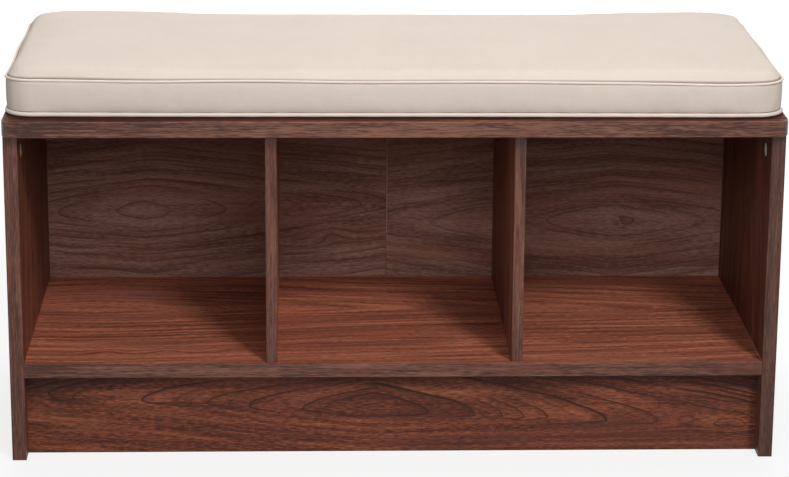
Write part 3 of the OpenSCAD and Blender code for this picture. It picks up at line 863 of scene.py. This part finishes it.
def piece(name, points, faces, material, body, cloth=None, smooth_faces=True):
    """A new piece that rides on a body, with its cloth coordinates if it has any."""
    mesh = bpy.data.meshes.new(name)
    mesh.from_pydata([tuple(p) for p in points], [], faces)
    if cloth:
        layer = mesh.uv_layers.new(name="cloth")
        layer.data.foreach_set("uv", np.array([uv for face in cloth for uv in face]).ravel())
    mesh.materials.append(material)
    mesh.polygons.foreach_set("use_smooth", [smooth_faces] * len(mesh.polygons))
    mesh.update()
    made = add(name, mesh)
    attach(made, body)
    return made


def settled_mesh(thing):
    """Turns a piece with its modifiers into a plain mesh."""
    graph = bpy.context.evaluated_depsgraph_get()
    mesh = bpy.data.meshes.new_from_object(
        thing.evaluated_get(graph), preserve_all_data_layers=True, depsgraph=graph,
    )
    old = thing.data
    thing.modifiers.clear()
    thing.data = mesh
    bpy.data.meshes.remove(old)


def faced_out(thing):
    """Turns the faces of a closed piece outwards."""
    work = bmesh.new()
    work.from_mesh(thing.data)
    bmesh.ops.recalc_face_normals(work, faces=work.faces)
    work.to_mesh(thing.data)
    work.free()


def swept(name, rings, material, closed=False):
    """A solid of the cushion's through rings of points, closed on itself or capped."""
    sides = len(rings[0])
    points = [p for ring in rings for p in ring]
    faces = []
    for k in range(len(rings) - (0 if closed else 1)):
        faces += band(k * sides, (k + 1) % len(rings) * sides, sides)
    if not closed:
        faces += [list(range(sides))[::-1], [len(points) - sides + i for i in range(sides)]]
    made = piece(name, points, faces, material, "cushion")
    faced_out(made)
    return made


def band(first, second, count):
    """Faces between two rings of count points that start at first and second."""
    after = [(i + 1) % count for i in range(count)]
    return [[first + i, first + j, second + j, second + i] for i, j in enumerate(after)]


def cover(material):
    """The cover, sewn and filled. Its edges at the seams are creased, and its points there carry
    how dark the painted shade along each seam is."""
    levels = (0.0, 0.06, 0.2, 0.4, 0.6, 0.8, 0.95, 1.0)
    points, faces, cloth, seams, underside = cover_blank(6 * MM, levels)
    points = puff(points, faces, underside | seams[0] | seams[1], 3 * MM)
    made = piece("cushion_cover", settle(points), faces, material, "cushion", cloth)
    creases = [0.9 * any(set(e.vertices) <= seam for seam in seams) for e in made.data.edges]
    # Painted shade along the seams, darker along the lower seam than the upper
    painted_seam_shade = [1.4 * (k in seams[0]) + 0.9 * (k in seams[1]) for k in range(len(points))]
    for name, domain, values in (("crease_edge", "EDGE", creases), ("seam", "POINT", painted_seam_shade)):
        made.data.attributes.new(name, "FLOAT", domain).data.foreach_set("value", values)
    modifier = made.modifiers.new("finer", "SUBSURF")
    modifier.levels = modifier.render_levels = 1
    settled_mesh(made)
    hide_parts("cushion_top_panel", "cushion_boxing", "cushion_bottom_panel")
    return made


def foam_block(material):
    """The foam inside, a little smaller all round than the cover as it was cut."""
    points, faces = cover_blank(14 * MM, (0.0, 0.3, 0.7, 1.0))[:2]
    made = piece("foam_block", points, faces, material, "cushion")
    inward = np.array([v.normal for v in made.data.vertices])
    inner = settle(points - inward * 4 * MM).astype(np.float32)
    made.data.vertices.foreach_set("co", inner.ravel())
    made.data.update()
    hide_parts("cushion_foam")


def foam_finish():
    """Cut foam: open cells with torn walls."""
    f = Finish("cut_foam")
    place = f.place()
    cells = f.node("TexVoronoi", None, Scale=1.0, Vector=f.point(*(a * 900.0 for a in place)))
    clouds = f.noise([a * 30.0 for a in place], 3.0, 0.6, 2.0)
    tone = f.colours(cells * 0.5 + clouds * 0.5, [
        (0.25, (214, 200, 160)), (0.5, (232, 221, 186)), (0.7, (240, 231, 202)),
    ])
    bump = f.bump(cells, 0.4 * MM, 0.7)
    return f.done(tone, 0.9 + clouds * 0.08, bump, shine=0.1)


def outline(half_x, half_y, radius, step):
    """Points about every step round a rounded rectangle from the middle of its rear,
    with each one's outward direction and its distance along."""
    path = [(0.0, half_y, 0.0, 1.0)]
    for sx, sy, start in ((-1, 1, 90), (-1, -1, 180), (1, -1, 270), (1, 1, 0)):
        turns = max(6, round(radius * pi / 2 / step))
        for k in range(turns + 1):
            angle = radians(start + 90 * k / turns)
            path.append((
                sx * (half_x - radius) + radius * cos(angle),
                sy * (half_y - radius) + radius * sin(angle),
                cos(angle), sin(angle),
            ))
    path = np.array(path + path[:1])
    steps = np.linalg.norm(np.diff(path[:, :2], axis=0), axis=1)
    reach = np.concatenate([[0.0], np.cumsum(steps)])
    at = np.linspace(0.0, reach[-1], round(reach[-1] / step) + 1)[:-1]
    even = np.stack([np.interp(at, reach, column) for column in path.T], 1)
    even[:, 2:] /= np.linalg.norm(even[:, 2:], axis=1)[:, None]
    return even[:, :2], even[:, 2:], at


def piping(name, node, z, size, material):
    """A cord in bias-cut cloth, sewn in all round and joined behind. size is how much
    of the cord the stuffed cloth leaves proud."""
    sides = 12
    turns = [2 * pi * side / sides for side in range(sides + 1)]
    spots, out, at = outline(piping_x, piping_y, corner_r, CORD_STEP)
    join = np.minimum(at, at[-1] + CORD_STEP - at)
    swell = 0.11 * np.exp(-((join / (5 * MM)) ** 2))
    thick = size * piping_r * (1.0 + swell - 0.03 * (1.0 + np.sin(at * 190.0)))
    points, faces, cloth = [], [], []
    for k, reach in enumerate(thick):
        for turn in turns[:-1]:
            x, y = spots[k] + out[k] * (reach * cos(turn))
            points.append((x, y + cushion_y, z + reach * sin(turn)))
        faces += band(k * sides, (k + 1) % len(spots) * sides, sides)
        u0, u1 = k * CORD_STEP, (k + 1) * CORD_STEP
        around = [piping_r * turn for turn in turns]
        cloth += [[(u0, v0), (u0, v1), (u1, v1), (u1, v0)] for v0, v1 in zip(around, around[1:])]
    made = piece(name, settle(points), faces, material, "cushion", cloth)
    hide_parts(node)


def canvas_finish(name, colour, turn=0.0):
    """Plain-woven cotton canvas. turn is the angle of its threads to the cut edge."""
    f = Finish(name)
    u, v = f.cloth_place()
    c, s = cos(turn), sin(turn)
    warp, weft = u * c + v * s, v * c - u * s
    pitch = 2 * pi / (0.75 * MM)
    slub = f.noise((warp * 900.0, weft * 30.0), seed=1.0)
    slub = slub + f.noise((warp * 30.0, weft * 900.0), seed=2.0)
    over = (warp * pitch).math("SINE") * (weft * pitch).math("SINE")
    clouds = f.noise((u * 11.0, v * 11.0), 3.0, 0.55, 3.0)
    fine = f.noise((u * 160.0, v * 160.0), seed=4.0)
    tone = f.colours(clouds * 0.5 + slub * 0.25 + fine * 0.25, [
        (0.3, share_of(colour, 0.945)), (0.5, colour), (0.7, share_of(colour, 1.02)),
    ])
    # Painted shade: the cloth is darkened along its seams, standing in for the shade in the creases
    # there
    seam = f.node("Attribute", {"attribute_name": "seam"}, output="Fac").ramp(0.62, 0.9)
    tone = f.mix(tone, (112, 94, 82), seam * 0.85)
    weave = f.bump(over * 0.5 + slub * 0.6, 0.1 * MM, 0.45)
    bump = f.bump(fine, 0.2 * MM, 0.3, weave)
    return f.done(tone, 0.86 + (slub - 1.0) * 0.1, bump, shine=0.1)


def webbing_finish(name, colour, along, across, pitch, seed):
    """Narrow woven tape with ribs across it."""
    f = Finish(name)
    place = dict(zip("xyz", f.place()))
    u, v = place[along], place[across]
    turn = 2 * pi / pitch
    rib = ((u * turn).math("SINE") * (v * turn * 0.5).math("SINE")) * 0.5 + 0.5
    lint = f.noise((u * 500.0, v * 500.0), 3.0, 0.6, seed)
    worn = f.noise((u * 40.0, v * 60.0), seed=seed + 1.0)
    tone = f.colours(rib * 0.35 + lint * 0.35 + worn * 0.3, [
        (0.25, share_of(colour, 0.82)), (0.5, colour), (0.75, share_of(colour, 1.06)),
    ])
    bump = f.bump(rib * 0.7 + lint * 0.3, 0.12 * MM, 0.6)
    return f.done(tone, 0.85 + (lint - 0.5) * 0.1, bump, shine=0.15)


def thread_finish(name, colour):
    """Twisted thread."""
    f = Finish(name)
    x, y, z = f.place()
    twist = ((x + y + z) * 2600.0).math("SINE") * 0.5 + 0.5
    fuzz = f.noise((x * 700.0, y * 700.0, z * 700.0), seed=1.0)
    tone = f.colours(twist * 0.5 + fuzz * 0.5, [(0.2, share_of(colour, 0.8)), (0.6, colour)])
    bump = f.bump(twist, 0.08 * MM, 0.5)
    return f.done(tone, 0.7 + fuzz * 0.15, bump, shine=0.25)


# ---- Zip ----

def oval(half_u, half_v, power, count):
    """Points round a shape between an ellipse, at power 2, and a rectangle."""
    turns = [2 * pi * k / count for k in range(count)]
    return [(
        copysign(half_u * abs(cos(t)) ** (2 / power), cos(t)),
        copysign(half_v * abs(sin(t)) ** (2 / power), sin(t)),
    ) for t in turns]


# Sections in millimetres: height over the zip's middle line and distance outwards
TAPE_SECTION = [(-6.0, 0.1), (-6.0, 0.5), (-1.5, 0.6), (1.5, 0.6), (6.0, 0.5), (6.0, 0.1)]
LIP_SECTION = [
    (2.3, 0.7), (2.0, 1.1), (2.2, 1.5), (3.0, 1.7), (5.0, 1.4), (6.6, 0.9), (7.2, 0.3),
    (7.0, 0.0), (4.0, 0.4),
]
# The slider's steps: distance outwards and how full its outline is there
SLIDER_STEPS = [(0, 0.86), (0.3, 0.97), (0.9, 1.0), (1.9, 0.98), (2.6, 0.9), (2.9, 0.74)]
# The bail's run along the zip and outwards, and which way and how wide it is there
BAIL_RUN = [
    (-2.2, 2.4, 1), (-2.1, 3.6, 1), (-1.2, 4.3, 0.8), (0.6, 4.4, 0.5), (2.0, 3.9, 0.8),
    (2.6, 3.2, 1), (2.7, 2.4, 1),
]
# The pull's section: share of the way to its hole, and distance outwards
PULL_SECTION = [
    (0.04, 0.0), (0.0, 0.25), (0.0, 0.7), (0.06, 1.0), (0.8, 1.0), (1.0, 0.7), (1.0, 0.25),
    (0.9, 0.0),
]


def close_zip(cloth):
    """The zip in the rear of the boxing: woven tape under two folded lips, a coil, end
    tacks, topstitching, and a slider with its pull."""
    corners = [v.co for v in cloth.data.vertices]
    wall = BVHTree.FromPolygons(corners, [p.vertices for p in cloth.data.polygons])
    low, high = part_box("cushion_zip")
    zip_z, end = (low.z + high.z) / 2, high.x - 1 * MM

    def rear(x, z):
        return wall.ray_cast(Vector((x, 0.4, z)), Vector((0.0, -1.0, 0.0)))[0].y
    stations = np.linspace(-end, end, 161)
    middle = [min(rear(x, zip_z + h * MM) for h in (-3.0, 0.0, 3.0)) for x in stations]
    middle = np.convolve(np.pad(middle, 3, mode="edge"), np.ones(7) / 7, "valid")
    path = list(zip(stations, middle))

    def strip(name, section, material):
        rings = [[
            (x, max(y, rear(x, zip_z + h * MM) - 0.2 * MM) + o * MM, zip_z + h * MM)
            for h, o in section
        ] for x, y in path]
        return swept(name, rings, material)

    def sewn(name, points, links, material, slot, **sizes):
        out = [(0.0, 1.0, 0.0)] * len(points)
        worked(name, stitches, points, material, "cushion", slot, links, out, **sizes)
    tape = strip("zip_tape", TAPE_SECTION, zip_webbing)
    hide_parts("cushion_zip")
    for name, sign in (("zip_lip_lower", -1.0), ("zip_lip_upper", 1.0)):
        strip(name, [(sign * h, o) for h, o in LIP_SECTION], lip_canvas)
    runs = [(k, k + 1) for k in range(len(path) - 1)]
    sewn("zip_coil", [(x, y + 1.2 * MM, zip_z) for x, y in path], runs, zip_nylon, "zip",
         Pitch=1.25 * MM, Length=2.7 * MM, Thickness=1.0 * MM, Turn=pi / 2, Sway=1.1 * MM)
    points, links = [], []
    for height in (-5.3, 5.3):
        links += [(len(points) + a, len(points) + b) for a, b in runs]
        points += [(x, y + 1.35 * MM, zip_z + height * MM) for x, y in path]
    sewn("zip_topstitching", points, links, sewing_thread, "cover",
         Pitch=3.2 * MM, Length=2.5 * MM, Thickness=0.5 * MM)
    points, links = [], []
    for x in (-end + 2 * MM, end - 2 * MM):
        y = rear(x, zip_z) + 2.0 * MM
        for dx in (-0.6, 0.6):
            links.append((len(points), len(points) + 1))
            points += [(x + dx * MM, y, zip_z + dz * MM) for dz in (-6, 6)]
    sewn("zip_tacks", points, links, sewing_thread, "cover",
         Pitch=0.6 * MM, Length=1.9 * MM, Thickness=0.6 * MM, Turn=pi / 2)

    x0 = end - 12 * MM
    y0 = float(np.interp(x0, stations, middle)) + 0.9 * MM
    body = oval(4.5 * MM, 3.4 * MM, 2.8, 28)
    swept("zip_slider", [
        [(x0 + u * size, y0 + o * MM, zip_z + v * size) for u, v in body]
        for o, size in SLIDER_STEPS
    ], zip_metal)
    turns = np.linspace(0, 2 * pi, 9)[:-1]
    swept("zip_bail", [[(
        x0 + u * MM + 0.45 * MM * cos(t) * side, y0 + o * MM, zip_z + 0.7 * MM * sin(t),
    ) for t in turns] for u, o, side in BAIL_RUN], zip_metal)
    outer, inner = oval(8.0 * MM, 2.5 * MM, 3.2, 36), oval(5.4 * MM, 1.2 * MM, 3.0, 36)
    swept("zip_pull", [[(
        x0 - 8.2 * MM + u0 + (u1 - u0) * a, y0 + (3.0 + o) * MM, zip_z + v0 + (v1 - v0) * a,
    ) for a, o in PULL_SECTION] for (u0, v0), (u1, v1) in zip(outer, inner)],
        zip_metal, closed=True)


# ---- Hook and loop strips ----

STRIP_X, STRIP_Y, STRIP_THICK = 55 * MM, 12.5 * MM, 0.35 * MM


def fasten(name, node, material, body, up, spacing):
    """Four strips of tape and their stitched borders, which face up or down. Gives the
    places of their hooks or loops, spacing apart, the borders and how far to reach."""
    low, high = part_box(node)
    foot, tip = (low.z, high.z) if up > 0 else (high.z, low.z)
    face = foot + up * STRIP_THICK
    layers = ((foot, 0.0), (face, 0.0), (foot + up * (STRIP_THICK + 0.08 * MM), 0.4 * MM))
    shape = outline(STRIP_X, STRIP_Y, 2.5 * MM, 2 * MM)[0]
    ring = outline(STRIP_X - 1.9 * MM, STRIP_Y - 1.9 * MM, 1.2 * MM, 2 * MM)[0]
    count = len(shape)
    span_x, span_y = STRIP_X - 4 * MM, STRIP_Y - 3.6 * MM
    points, faces, tufts, seams, links = [], [], [], [], []
    for cx in (low.x + STRIP_X, high.x - STRIP_X):
        for cy in (low.y + STRIP_Y, high.y - STRIP_Y):
            base = len(points)
            for z, shrink in layers:
                points += [
                    (cx + x * (1 - shrink / STRIP_X), cy + y * (1 - shrink / STRIP_Y), z)
                    for x, y in shape
                ]
            middle, last, end = (base + k * count for k in (1, 2, 3))
            faces += band(base, middle, count) + band(middle, last, count)
            faces += [list(range(base, middle)), list(range(last, end))[::-1]]
            for i in range(round(2 * span_x / spacing)):
                for j in range(round(2 * span_y / spacing) + 1):
                    x = cx - span_x + i * spacing + (j % 2) * spacing / 2
                    tufts.append((x, cy - span_y + j * spacing, face))
            start = len(seams)
            seams += [(cx + x, cy + y, foot + up * (STRIP_THICK + 0.15 * MM)) for x, y in ring]
            links += [(start + i, start + (i + 1) % len(ring)) for i in range(len(ring))]
    strips = piece(name, points, faces, material, body, smooth_faces=False)
    faced_out(strips)
    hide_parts(node)
    return tufts, seams, links, abs(tip - foot) - STRIP_THICK


canvas = canvas_finish("cream_canvas", (215, 202, 190))
# Painted highlight: the piping's bias-cut canvas is the cover's canvas made lighter, for the light
# its proud cords catch
bias_canvas_painted_light = canvas_finish("cream_bias_canvas_painted_light", (231, 217, 206), pi / 4)
lip_canvas = webbing_finish("cream_lip_canvas", (214, 201, 189), "x", "z", 0.75 * MM, 1.0)
zip_webbing = webbing_finish("zip_webbing", (186, 173, 158), "x", "z", 0.9 * MM, 2.0)
zip_nylon = thread_finish("zip_nylon", (200, 188, 172))
zip_metal = metal_finish("zip_metal", (176, 170, 160), 0.33, 7.0)
hook_nylon = webbing_finish("hook_nylon", (62, 56, 52), "x", "y", 1.0 * MM, 3.0)
loop_nylon = webbing_finish("loop_nylon", (206, 194, 181), "x", "y", 1.0 * MM, 4.0)
cushion_cover = cover(canvas)
foam_block(foam_finish())
piping("lower_cord", "lower_piping", lower_z, 1.0, bias_canvas_painted_light)
piping("upper_cord", "upper_piping", upper_z, 0.6, bias_canvas_painted_light)

stitches, threads = stitch_rows(), pile()
sewing_thread = thread_finish("sewing_thread", (214, 203, 190))
close_zip(cushion_cover)

# Hook strips stuck to the top board, and loop strips sewn under the cushion
hooks, _, _, reach = fasten("hook_tape", "hook_strips", hook_nylon, "bench", 1.0, 1.9 * MM)
worked("hooks", threads, hooks, hook_nylon, "bench", "hook", Radius=reach * 0.52,
       Thickness=0.16 * MM, Start=-0.9, Sweep=4.2, Tip=0.0, Scatter=0.12 * MM, Twist=0.25)
loops, seams, links, reach = fasten(
    "loop_tape", "loop_strips", loop_nylon, "cushion", -1.0, 1.75 * MM,
)
worked("loops", threads, loops, loop_nylon, "cushion", "loop", Radius=reach * 0.95,
       Thickness=0.11 * MM, Start=0.0, Sweep=pi, Tip=pi, Scatter=0.8 * MM, Twist=1.5)
worked("strip_stitching", stitches, seams, sewing_thread, "cushion", "loop", links,
       [(0.0, 0.0, -1.0)] * len(seams), Pitch=2.8 * MM, Length=2.1 * MM, Thickness=0.4 * MM)
